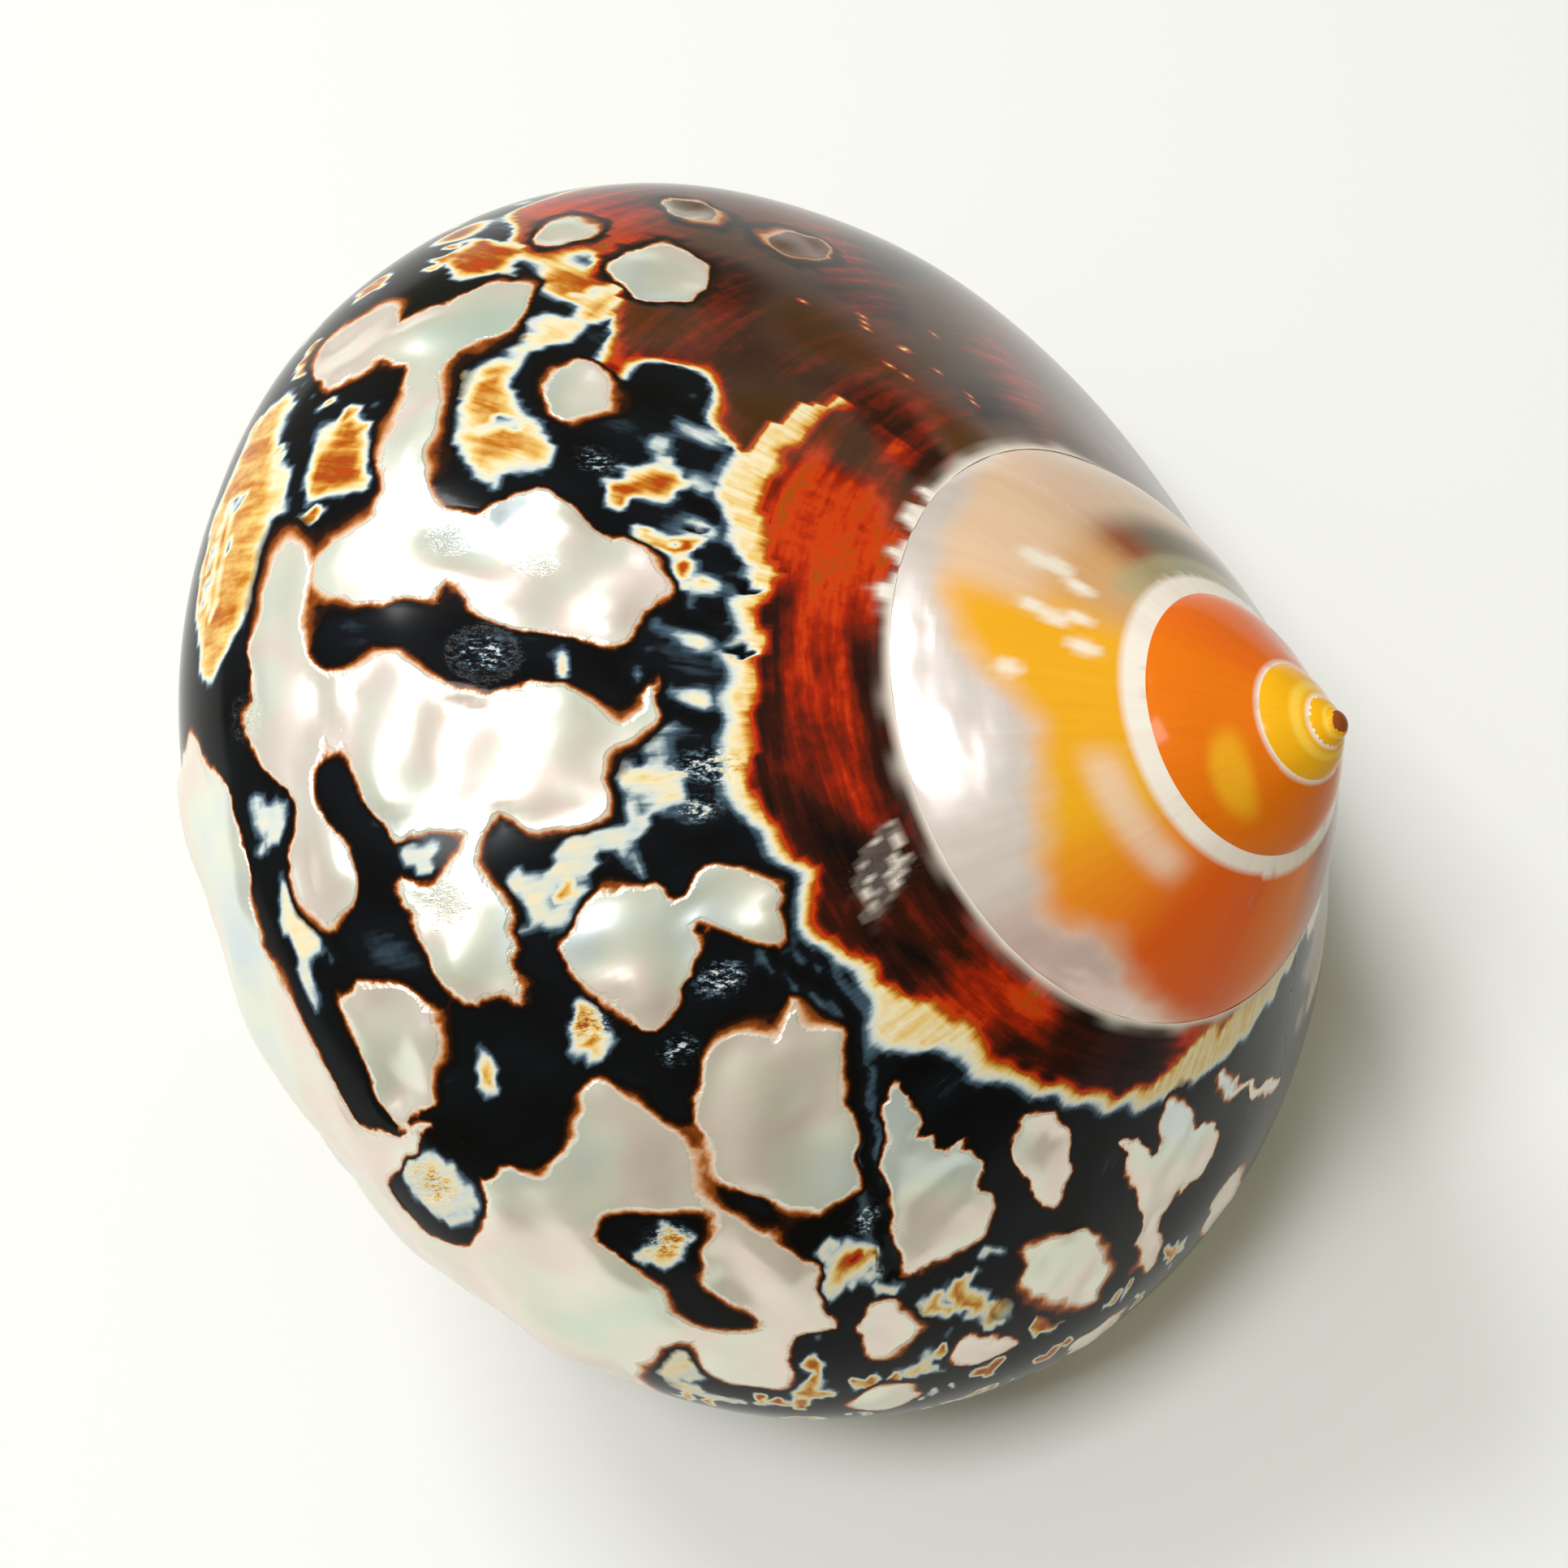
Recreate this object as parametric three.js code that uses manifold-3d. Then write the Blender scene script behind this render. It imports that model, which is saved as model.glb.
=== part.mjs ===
// Turban shell: one grown piece, coiled about its own axis, hollow inside,
// lying mouth down on the flat rim of its mouth. Millimetres, +Z up.
import * as THREE from "three";
import { mergeVertices } from "three/addons/utils/BufferGeometryUtils.js";
import Module from "manifold-3d";

const degree = Math.PI / 180;

// Growth: one section is carried round the coiling axis and enlarged as it goes.
const growthRate = 0.13342; // natural log of size gained per radian
const firstTurn = -1440 * degree; // tip of the spire
const lastTurn = 15 * degree; // far end of the mouth, below the resting plane

// Outer section at growth angle 0, as a bent oval beside the axis.
const sectionCentre = [10.57, -45.66]; // distance from the axis, height below the tip
const sectionHalfWidth = 45.7;
const sectionHalfHeight = 29.34;
const sectionTilt = -23.71 * degree;
const thirdWave = [0.0656, -0.0216];
const fourthWave = [-0.0405, 0.024];
const sectionLow = -88 * degree; // where the base meets the pillar
const sectionHigh = 89.6 * degree; // where the shoulder meets the whorl before
const sectionAnchor = [14.5, -23.6]; // inside the whorl before, so the two join
const axisGap = 1.45; // sections stop this far from the axis, and the pillar fills it
const axisTop = -21.7;

// Hollow that the animal lived in.
const hollowCentre = [29.4, -53.5];
const hollowHalfLong = 22.2;
const hollowHalfShort = 20.2;
const hollowTilt = -45 * degree;
const hollowFirstTurn = -640 * degree;
const hollowTaperTurn = 40 * degree;
const lipFlare = 0.08; // the wall thins towards the lip
const lipFlareTurn = -150 * degree;

// The last whorl sinks towards the mouth.
const sinkFrom = -60 * degree;
const sinkTo = 5 * degree;
const sinkDepth = 16.9;

// Pillar round the axis, and the pad of shell where it meets the base.
const pillarSlope = 0.15; // radius gained per millimetre below the tip
const pillarLength = 73;
const padRadius = 15.5;
const padHalfHeight = 14.5;
const padCentre = [4.5, -40.5]; // distance from the axis, height below the tip
const padTurn = 70 * degree;

// How the shell lies.
const spin = 1.02 * degree;
const lean = 40.46 * degree;
const heading = -18.12 * degree;
const tipHeight = 38.03; // tip of the spire above the resting plane

const roundSteps = 24; // points round the outer section
const hollowSteps = 20;
const turnStep = 7.5 * degree;
const stretch = 157.5 * degree;

function smooth(value) {
  const t = Math.min(Math.max(value, 0), 1);
  return t * t * (3 - 2 * t);
}

function growth(turn) {
  return Math.exp(growthRate * turn);
}

function sink(turn) {
  return sinkDepth * smooth((turn - sinkFrom) / (sinkTo - sinkFrom));
}

// Point of the outer section: radius and height at growth angle 0.
function outerPoint(angle) {
  const third = thirdWave[0] * Math.cos(3 * angle) + thirdWave[1] * Math.sin(3 * angle);
  const fourth = fourthWave[0] * Math.cos(4 * angle) + fourthWave[1] * Math.sin(4 * angle);
  const swell = 1 + third + fourth;
  const across = sectionHalfWidth * Math.cos(angle) * swell;
  const up = sectionHalfHeight * Math.sin(angle) * swell;
  return [
    sectionCentre[0] + across * Math.cos(sectionTilt) - up * Math.sin(sectionTilt),
    sectionCentre[1] + across * Math.sin(sectionTilt) + up * Math.cos(sectionTilt),
  ];
}

// Carries a section point to its place round the coiling axis.
function carry(turn, radius, height) {
  const size = growth(turn);
  return new THREE.Vector3(
    size * radius * Math.cos(turn),
    -size * radius * Math.sin(turn),
    size * height
  );
}

function outerRing(turn) {
  const ring = [];
  const size = growth(turn);
  for (let i = 0; i <= roundSteps; i += 1) {
    const angle = sectionLow + ((sectionHigh - sectionLow) * i) / roundSteps;
    const [radius, height] = outerPoint(angle);
    ring.push(carry(turn, Math.max(radius, axisGap), height - sink(turn) / size));
  }
  ring.push(carry(turn, sectionAnchor[0], sectionAnchor[1]));
  ring.push(carry(turn, axisGap, axisTop));
  return ring;
}

function hollowRing(turn) {
  const size = growth(turn);
  const flare = 1 + lipFlare * smooth((turn - lipFlareTurn) / (lastTurn - lipFlareTurn));
  const taper = smooth((turn - hollowFirstTurn) / hollowTaperTurn + 0.15);
  const ring = [];
  for (let i = 0; i < hollowSteps; i += 1) {
    const angle = (2 * Math.PI * i) / hollowSteps;
    const along = hollowHalfLong * flare * taper * Math.cos(angle);
    const side = hollowHalfShort * flare * taper * Math.sin(angle);
    const radius = hollowCentre[0] + along * Math.cos(hollowTilt) - side * Math.sin(hollowTilt);
    const height = hollowCentre[1] + along * Math.sin(hollowTilt) + side * Math.cos(hollowTilt);
    ring.push(carry(turn, radius, height - sink(turn) / size));
  }
  return ring;
}

// Skin over a row of rings, closed by a flat cap at each end.
function sweep(makeRing, from, to, step) {
  const count = Math.round((to - from) / step);
  const rings = [];
  for (let i = 0; i <= count; i += 1) {
    rings.push(makeRing(from + ((to - from) * i) / count));
  }
  const size = rings[0].length;
  const points = rings.flat();
  const faces = [];
  for (let i = 0; i < count; i += 1) {
    for (let j = 0; j < size; j += 1) {
      const a = i * size + j;
      const b = i * size + ((j + 1) % size);
      faces.push([a, b, b + size], [a, b + size, a + size]);
    }
  }
  const flat = rings[0].map((point) => new THREE.Vector2(Math.hypot(point.x, point.y), point.z));
  for (const [a, b, c] of THREE.ShapeUtils.triangulateShape(flat, [])) {
    const end = count * size;
    faces.push([b, a, c], [end + a, end + b, end + c]);
  }
  return { points, faces };
}

function place(point) {
  return point
    .clone()
    .applyAxisAngle(new THREE.Vector3(0, 0, 1), spin)
    .applyAxisAngle(new THREE.Vector3(0, 1, 0), lean)
    .applyAxisAngle(new THREE.Vector3(0, 0, 1), heading)
    .add(new THREE.Vector3(0, 0, tipHeight));
}

function signedVolume({ points, faces }) {
  let total = 0;
  for (const [a, b, c] of faces) {
    total += points[a].dot(points[b].clone().cross(points[c]));
  }
  return total / 6;
}

const wasm = await Module();
wasm.setup();

function solid(shape) {
  const outward = signedVolume(shape) > 0;
  const vertProperties = new Float32Array(shape.points.flatMap((point) => place(point).toArray()));
  const triVerts = new Uint32Array(
    shape.faces.flatMap(([a, b, c]) => (outward ? [a, b, c] : [a, c, b]))
  );
  return new wasm.Manifold(new wasm.Mesh({ numProp: 3, vertProperties, triVerts }));
}

function shapeOf(geometry) {
  const bare = new THREE.BufferGeometry();
  bare.setAttribute("position", geometry.getAttribute("position"));
  bare.setIndex(geometry.getIndex());
  const merged = mergeVertices(bare, 1e-4);
  const position = merged.getAttribute("position");
  const index = merged.getIndex();
  const points = [];
  for (let i = 0; i < position.count; i += 1) {
    points.push(new THREE.Vector3().fromBufferAttribute(position, i));
  }
  const faces = [];
  for (let i = 0; i < index.count; i += 3) {
    const face = [index.getX(i), index.getX(i + 1), index.getX(i + 2)];
    if (new Set(face).size === 3) {
      faces.push(face);
    }
  }
  return { points, faces };
}

// Whorls in short stretches, so that no skin passes through itself and no two ends share a plane.
let body = null;
for (let from = firstTurn; from < lastTurn - 1e-6; from += stretch) {
  const to = Math.min(from + stretch, lastTurn);
  const coarse = from < -900 * degree ? 1.5 * turnStep : turnStep;
  const whorl = solid(sweep(outerRing, from, to, coarse));
  body = body === null ? whorl : body.add(whorl);
}

const tipRadius = 1.05 * growth(firstTurn) * sectionHalfWidth;
const tip = new THREE.SphereGeometry(tipRadius, 16, 10);
tip.scale(1, 1, 0.75);
tip.translate(0, 0, growth(firstTurn) * sectionCentre[1]);
body = body.add(solid(shapeOf(tip)));

const pillar = new THREE.CylinderGeometry(0.4, pillarSlope * pillarLength, pillarLength - 2, 16);
pillar.rotateX(90 * degree);
pillar.translate(0, 0, -pillarLength / 2 - 1);
body = body.add(solid(shapeOf(pillar)));

const pad = new THREE.SphereGeometry(padRadius, 32, 18);
pad.rotateX(90 * degree);
pad.scale(1, 1, padHalfHeight / padRadius);
pad.translate(padCentre[0] * Math.cos(padTurn), -padCentre[0] * Math.sin(padTurn), padCentre[1]);
body = body.add(solid(shapeOf(pad)));

const hollow = solid(sweep(hollowRing, hollowFirstTurn, lastTurn, turnStep));
body = body.subtract(hollow);

// The resting plane cuts the mouth flat.
const ground = new THREE.BoxGeometry(400, 400, 200);
const groundShape = shapeOf(ground);
const groundPoints = new Float32Array(
  groundShape.points.flatMap((point) => [point.x, point.y, point.z - 100])
);
const groundSolid = new wasm.Manifold(
  new wasm.Mesh({
    numProp: 3,
    vertProperties: groundPoints,
    triVerts: new Uint32Array(groundShape.faces.flat()),
  })
);
body = body.subtract(groundSolid);

const mesh = body.getMesh();
const geometry = new THREE.BufferGeometry();
const positions = new Float32Array(mesh.vertProperties.length);
positions.set(mesh.vertProperties);
geometry.setAttribute("position", new THREE.BufferAttribute(positions, 3));
geometry.setIndex(new THREE.BufferAttribute(new Uint32Array(mesh.triVerts), 1));
geometry.computeBoundingBox();
const box = geometry.boundingBox;
geometry.translate(-(box.min.x + box.max.x) / 2, -(box.min.y + box.max.y) / 2, -box.min.z);
geometry.computeVertexNormals();

const material = new THREE.MeshStandardMaterial({ color: 0xd8cfc0, roughness: 0.18 });
const shell = new THREE.Mesh(geometry, material);
shell.name = "shell";

const turbanShell = new THREE.Group();
turbanShell.name = "turban_shell";
turbanShell.add(shell);

export default turbanShell;
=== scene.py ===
import math

import bmesh
import bpy
import numpy as np

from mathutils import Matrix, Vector


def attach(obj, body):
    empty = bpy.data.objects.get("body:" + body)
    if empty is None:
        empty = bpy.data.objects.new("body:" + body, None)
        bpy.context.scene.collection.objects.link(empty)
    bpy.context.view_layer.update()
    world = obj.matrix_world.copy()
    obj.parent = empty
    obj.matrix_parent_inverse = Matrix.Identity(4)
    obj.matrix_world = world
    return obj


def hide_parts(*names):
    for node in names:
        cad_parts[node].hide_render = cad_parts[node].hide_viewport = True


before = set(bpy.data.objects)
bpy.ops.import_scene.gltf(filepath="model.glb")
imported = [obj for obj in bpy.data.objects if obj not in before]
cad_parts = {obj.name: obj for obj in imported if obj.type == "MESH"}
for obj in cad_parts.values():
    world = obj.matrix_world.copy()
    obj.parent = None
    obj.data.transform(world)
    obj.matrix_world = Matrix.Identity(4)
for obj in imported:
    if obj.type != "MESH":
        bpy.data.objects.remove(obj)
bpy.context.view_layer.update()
mm = 0.001
degree = math.pi / 180

# the way the shell grows and lies, in mm at growth angle 0
coil = {
    "rate": 0.13342,  # natural log of size gained per radian
    "centre": (10.57, -45.66),  # middle of the section: off the axis, below the tip
    "halfWidth": 45.7,
    "halfHeight": 29.34,
    "tilt": -23.71 * degree,
    "thirdWave": (0.0656, -0.0216),
    "fourthWave": (-0.0405, 0.024),
    "low": -88.0,  # section angles, degrees
    "high": 89.6,
    "anchor": (14.5, -23.6),
    "axisGap": 1.45,
    "axisTop": -21.7,
    "sinkFrom": -60.0,
    "sinkTo": 5.0,
    "sinkDepth": 16.9,
    "spin": 1.02 * degree,
    "lean": 40.46 * degree,
    "heading": -18.12 * degree,
    "tip": (23.106, -14.939, 38.03),
}

# each stretch of whorl: first turn, last turn, step along, step round (degrees)
stretches = [
    (-1845.0, -1642.5, 7.5, 10.0),
    (-1642.5, -1440.0, 7.5, 8.0),
    (-1440.0, -1282.5, 5.25, 6.0),
    (-1282.5, -1125.0, 5.25, 6.0),
    (-1125.0, -967.5, 3.5, 4.0),
    (-967.5, -810.0, 3.5, 3.5),
    (-810.0, -652.5, 2.1, 2.5),
    (-652.5, -495.0, 1.75, 2.0),
    (-495.0, -337.5, 1.05, 1.4),
    (-337.5, -180.0, 0.75, 1.0),
    (-180.0, -22.5, 0.75, 1.0),
    (-22.5, 15.0, 2.5, 3.0),
]

hollow = {
    "centre": (29.4, -53.5),
    "halfLong": 22.2,
    "halfShort": 20.2,
    "tilt": -45 * degree,
    "first": -640.0,
    "last": 15.0,
    "taper": 40.0,
    "flare": 0.08,
    "flareFrom": -150.0,
    "stepAlong": 4.0,
    "sides": 60,
}

pillar = {"slope": 0.15, "top": 0.4, "length": 73.0, "sides": 64, "rings": 40}
pad = {"radius": 15.5, "halfHeight": 14.5, "centre": (4.5, -40.5), "turn": 70 * degree}


def smooth(x):
    # t*t*(3 - 2t) with t = x held to 0..1
    t = np.clip(x, 0.0, 1.0)
    return t * t * (3.0 - 2.0 * t)


def swell(angle):
    # 1 + a3 cos 3A + b3 sin 3A + a4 cos 4A + b4 sin 4A
    third = coil["thirdWave"]
    fourth = coil["fourthWave"]
    wave = third[0] * np.cos(3 * angle) + third[1] * np.sin(3 * angle)
    return 1.0 + wave + fourth[0] * np.cos(4 * angle) + fourth[1] * np.sin(4 * angle)


def outerSection(angle):
    # bent oval: (w cos A, h sin A) * swell, turned by the tilt and moved to its centre
    across = coil["halfWidth"] * np.cos(angle) * swell(angle)
    up = coil["halfHeight"] * np.sin(angle) * swell(angle)
    c = math.cos(coil["tilt"])
    s = math.sin(coil["tilt"])
    return coil["centre"][0] + across * c - up * s, coil["centre"][1] + across * s + up * c


def sizeAt(turn):
    # exp(rate * turn), turn in degrees
    return np.exp(coil["rate"] * turn * degree)


def sinkAt(turn):
    # depth * smooth((turn - from) / (to - from))
    span = coil["sinkTo"] - coil["sinkFrom"]
    return coil["sinkDepth"] * smooth((turn - coil["sinkFrom"]) / span)


def carry(turn, radius, height, sink):
    # (S r cos T, -S r sin T, S h - sink) with S = size at T
    size = sizeAt(turn)
    x = size * radius * np.cos(turn * degree)
    y = -size * radius * np.sin(turn * degree)
    return np.stack(np.broadcast_arrays(x, y, size * height - sink), axis=-1)


def turnMatrix():
    # Rz(heading) Ry(lean) Rz(spin)
    def aboutZ(a):
        # turn by a about +Z: (x cos a - y sin a, x sin a + y cos a, z)
        return np.array([[math.cos(a), -math.sin(a), 0], [math.sin(a), math.cos(a), 0], [0, 0, 1]])

    b = coil["lean"]
    aboutY = np.array([[math.cos(b), 0, math.sin(b)], [0, 1, 0], [-math.sin(b), 0, math.cos(b)]])
    return aboutZ(coil["heading"]) @ aboutY @ aboutZ(coil["spin"])


lie = turnMatrix()


def intoFrame(points):
    # metres in the row frame = (M p + tip) * mm
    return (points @ lie.T + np.array(coil["tip"])) * mm


def fromFrame(points):
    # the other way: p = M' (P / mm - tip)
    return (points / mm - np.array(coil["tip"])) @ lie


def ringSolid(name, rings):
    # quads between ring i and ring i + 1, one flat face on each end
    count, size = rings.shape[:2]
    index = np.arange(count * size).reshape(count, size)
    beside = np.roll(index, -1, axis=1)
    quads = np.stack([index[:-1], beside[:-1], beside[1:], index[1:]], axis=-1).reshape(-1, 4)
    points = intoFrame(rings.reshape(-1, 3))
    a, b, c = points[quads[:, 0]], points[quads[:, 1]], points[quads[:, 2]]
    middle = points.mean(axis=0)
    outward = np.einsum("ij,ij->", np.cross(b - a, c - a), a - middle)
    first = index[0].tolist()
    last = index[-1].tolist()
    if outward < 0:
        quads = quads[:, ::-1]
        last.reverse()
    else:
        first.reverse()
    mesh = bpy.data.meshes.new(name)
    mesh.from_pydata(points.tolist(), [], quads.tolist() + [first, last])
    piece = bpy.data.objects.new(name, mesh)
    bpy.context.collection.objects.link(piece)
    return piece


def combine(base, other, how):
    # base joined with other, or other cut out of it
    cut = base.modifiers.new(how, "BOOLEAN")
    cut.operation = how
    cut.solver = "MANIFOLD"
    cut.object = other
    graph = bpy.context.evaluated_depsgraph_get()
    mesh = bpy.data.meshes.new_from_object(base.evaluated_get(graph))
    base.modifiers.clear()
    base.data = mesh
    bpy.data.objects.remove(other)
    return base


def whorlStretch(first, last, stepAlong, stepRound):
    # the outer section carried from one turn to the next, closed towards the axis
    count = int(round((last - first) / stepAlong)) + 1
    turn = np.linspace(first, last, count)[:, None]
    upper = int(round((coil["high"] + 8.0) / stepRound)) + 1
    lower = int(round((-8.0 - coil["low"]) / (2.2 * stepRound))) + 1
    angle = np.concatenate(
        [
            np.linspace(coil["low"], -8.0, lower)[:-1],
            np.linspace(-8.0, coil["high"], upper),
        ]
    )
    radius, height = outerSection(angle[None, :] * degree)
    skin = carry(turn, np.maximum(radius, coil["axisGap"]), height, sinkAt(turn))
    anchor = carry(turn, coil["anchor"][0], coil["anchor"][1], 0.0)
    inner = carry(turn, coil["axisGap"], coil["axisTop"], 0.0)
    return ringSolid("whorl", np.concatenate([skin, anchor, inner], axis=1))


def hollowTube():
    # oval (l cos A, s sin A), flared to the lip and tapered at its far end
    count = int(round((hollow["last"] - hollow["first"]) / hollow["stepAlong"])) + 1
    turn = np.linspace(hollow["first"], hollow["last"], count)[:, None]
    angle = np.linspace(0, 2 * np.pi, hollow["sides"], endpoint=False)[None, :]
    lipSpan = hollow["last"] - hollow["flareFrom"]
    wide = 1 + hollow["flare"] * smooth((turn - hollow["flareFrom"]) / lipSpan)
    wide = wide * smooth((turn - hollow["first"]) / hollow["taper"] + 0.15)
    along = hollow["halfLong"] * wide * np.cos(angle)
    side = hollow["halfShort"] * wide * np.sin(angle)
    c = math.cos(hollow["tilt"])
    s = math.sin(hollow["tilt"])
    radius = hollow["centre"][0] + along * c - side * s
    height = hollow["centre"][1] + along * s + side * c
    return ringSolid("hollow", carry(turn, radius, height, sinkAt(turn)))


def roundSolid(name, radii, heights, sides, offset):
    # rings of the given radii stacked along the coiling axis
    angle = np.linspace(0, 2 * np.pi, sides, endpoint=False)[None, :]
    x = radii[:, None] * np.cos(angle) + offset[0]
    y = radii[:, None] * np.sin(angle) + offset[1]
    z = np.broadcast_to(heights[:, None], x.shape)
    return ringSolid(name, np.stack([x, y, z], axis=-1))


def growShell():
    # whorls, tip, pillar and pad joined, less the hollow and all below the ground
    shell = None
    for first, last, stepAlong, stepRound in stretches:
        whorl = whorlStretch(first, last, stepAlong, stepRound)
        shell = whorl if shell is None else combine(shell, whorl, "UNION")
    tipSize = float(sizeAt(stretches[0][0]))
    arc = np.linspace(-89, 89, 25) * degree
    tipRadius = 1.05 * tipSize * coil["halfWidth"]
    tipHeights = tipSize * coil["centre"][1] + 0.75 * tipRadius * np.sin(arc)
    shell = combine(shell, roundSolid("tip", tipRadius * np.cos(arc), tipHeights, 40, (0, 0)), "UNION")
    down = np.linspace(-2.0, -pillar["length"], pillar["rings"])
    post = roundSolid("pillar", pillar["top"] - pillar["slope"] * down, down, pillar["sides"], (0, 0))
    shell = combine(shell, post, "UNION")
    arc = np.linspace(-89, 89, 61) * degree
    offset = (pad["centre"][0] * math.cos(pad["turn"]), -pad["centre"][0] * math.sin(pad["turn"]))
    padHeights = pad["centre"][1] + pad["halfHeight"] * np.sin(arc)
    shell = combine(shell, roundSolid("pad", pad["radius"] * np.cos(arc), padHeights, 120, offset), "UNION")
    shell = combine(shell, hollowTube(), "DIFFERENCE")
    ground = bpy.data.meshes.new("ground")
    box = bmesh.new()
    bmesh.ops.create_cube(box, size=0.4)
    bmesh.ops.translate(box, verts=box.verts, vec=(0, 0, -0.2))
    box.to_mesh(ground)
    box.free()
    groundPiece = bpy.data.objects.new("ground", ground)
    bpy.context.collection.objects.link(groundPiece)
    return combine(shell, groundPiece, "DIFFERENCE")


shell = growShell()
shell.name = "turban_shell"
shell.data.name = "turban_shell"
shellMesh = shell.data
print("shell grown:", len(shellMesh.vertices), "points,", len(shellMesh.polygons), "faces")


def readPoints(mesh):
    # the mesh vertices as one array of rows
    values = np.empty(len(mesh.vertices) * 3)
    mesh.vertices.foreach_get("co", values)
    return values.reshape(-1, 3)


def unsweep(points, turn, shape):
    # growth turn T given, the section angle and the share of the way out to the skin:
    # x = r / S - c0, y = (z + sink) / S - c1, turned back by the tilt, A = atan2(y / h, x / w)
    radius = np.hypot(points[..., 0], points[..., 1])
    size = sizeAt(turn)
    x = radius / size - shape["centre"][0]
    y = (points[..., 2] + sinkAt(turn)) / size - shape["centre"][1]
    c = math.cos(shape["tilt"])
    s = math.sin(shape["tilt"])
    across = (x * c + y * s) / shape["wide"]
    up = (y * c - x * s) / shape["tall"]
    return np.arctan2(up, across), np.hypot(across, up)


skinShape = {
    "centre": coil["centre"],
    "tilt": coil["tilt"],
    "wide": coil["halfWidth"],
    "tall": coil["halfHeight"],
}
hollowShape = {
    "centre": hollow["centre"],
    "tilt": hollow["tilt"],
    "wide": hollow["halfLong"],
    "tall": hollow["halfShort"],
}


def sortFaces(mesh):
    # for each face: is it outer skin, hollow or rim, and on which coil of the shell
    centres = np.empty(len(mesh.polygons) * 3)
    mesh.polygons.foreach_get("center", centres)
    own = fromFrame(centres.reshape(-1, 3))
    around = np.degrees(np.arctan2(-own[:, 1], own[:, 0]))
    bestSkin = np.full(len(own), 9.0)
    skinCoil = np.zeros(len(own), int)
    bestHollow = np.full(len(own), 9.0)
    for lap in range(-6, 2):
        turn = around + 360.0 * lap
        angle, out = unsweep(own, turn, skinShape)
        miss = np.abs(out / swell(angle) - 1.0) * 35.0 * sizeAt(turn)
        degrees = np.degrees(angle)
        allowed = (turn > -1848.0) & (turn < 16.0) & (degrees > -89.0) & (degrees < 92.0)
        better = allowed & (miss < bestSkin)
        bestSkin[better] = miss[better]
        skinCoil[better] = lap
        lipSpan = hollow["last"] - hollow["flareFrom"]
        flare = 1 + hollow["flare"] * smooth((turn - hollow["flareFrom"]) / lipSpan)
        angle, out = unsweep(own, turn, hollowShape)
        miss = np.abs(out / flare - 1.0) * 21.0 * sizeAt(turn)
        allowed = (turn > hollow["first"] - 1) & (turn < 16.0)
        bestHollow = np.where(allowed, np.minimum(bestHollow, miss), bestHollow)
    kind = np.where(bestSkin < 0.12, 0, np.where(bestHollow < 0.4, 1, 2))
    kind = np.where(centres.reshape(-1, 3)[:, 2] < 2e-5, 3, kind)
    return kind, skinCoil, around


def cornerPlaces(mesh):
    # growth turn and section angle at every face corner
    kind, skinCoil, around = sortFaces(mesh)
    corners = len(mesh.loops)
    point = np.empty(corners, int)
    mesh.loops.foreach_get("vertex_index", point)
    sides = np.empty(len(mesh.polygons), int)
    mesh.polygons.foreach_get("loop_total", sides)
    face = np.repeat(np.arange(len(sides)), sides)
    own = fromFrame(readPoints(mesh))[point]
    there = np.degrees(np.arctan2(-own[:, 1], own[:, 0]))
    swing = (there - around[face] + 180.0) % 360.0 - 180.0
    turn = around[face] + swing + 360.0 * skinCoil[face]
    angle, out = unsweep(own, turn, skinShape)
    return point, face, kind[face], turn, np.degrees(angle)


point, face, kind, turn, angle = cornerPlaces(shellMesh)
print("corners placed:", [int((kind == k).sum()) for k in range(4)])


# one entry per place on the skin where coils meet, worked out once and handed back to the corners
skin = kind == 0
lapKey = np.floor((turn[skin] + 1800.0) / 90.0).astype(int)
_, firstUse, back = np.unique(
    point[skin] * 64 + lapKey, return_index=True, return_inverse=True
)
skinPoint = point[skin][firstUse]
skinTurn = turn[skin][firstUse]
skinAngle = angle[skin][firstUse]
skinSize = sizeAt(skinTurn)
flat = {"along": 0.8, "round": 0.66}  # mm of skin per degree of turn and of section angle, at size 1
far = -99.0  # depth given to a place that is nowhere near an outline
bandStart = -300  # the marks of the band begin at this turn


def ripple(x, y, wave, seed):
    # sum of nine crossing sine waves, about -1..1
    chance = np.random.default_rng(seed)
    heading = chance.uniform(0, 2 * np.pi, 9)
    pace = 2 * np.pi / (wave * chance.uniform(0.7, 1.5, 9))
    start = chance.uniform(0, 2 * np.pi, 9)
    total = np.zeros(np.shape(x))
    for k in range(9):
        total = total + np.sin((x * np.cos(heading[k]) + y * np.sin(heading[k])) * pace[k] + start[k])
    return total / 4.0


# every outline is pushed about a little, as a grown edge is
wobble = {
    "along": 0.30 * ripple(skinTurn, skinAngle, 7, 51) + 0.14 * ripple(skinTurn, skinAngle, 3, 52),
    "round": 0.30 * ripple(skinTurn, skinAngle, 7, 53) + 0.14 * ripple(skinTurn, skinAngle, 3, 54),
}


def throughPoints(outline, steps=5):
    # closed curve through the points: each span is the usual four-point cubic
    p = np.array(outline, float)[:, None]
    before = np.roll(p, 1, axis=0)
    after = np.roll(p, -1, axis=0)
    beyond = np.roll(p, -2, axis=0)
    t = (np.arange(steps) / steps)[None, :, None]
    curve = 2 * p + (after - before) * t + (2 * before - 5 * p + 4 * after - beyond) * t**2
    curve = curve + (3 * p - before - 3 * after + beyond) * t**3
    return 0.5 * curve.reshape(-1, 2)


def ovalOutline(turn, angle, halfTurn, halfAngle, lean=0.0):
    # (a cos t, b sin t) turned by the lean
    t = np.linspace(0, 2 * np.pi, 12, endpoint=False)
    x = halfTurn * np.cos(t)
    y = halfAngle * np.sin(t)
    c = math.cos(lean * degree)
    s = math.sin(lean * degree)
    return np.stack([turn + x * c - y * s, angle + x * s + y * c], axis=-1)


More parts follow.
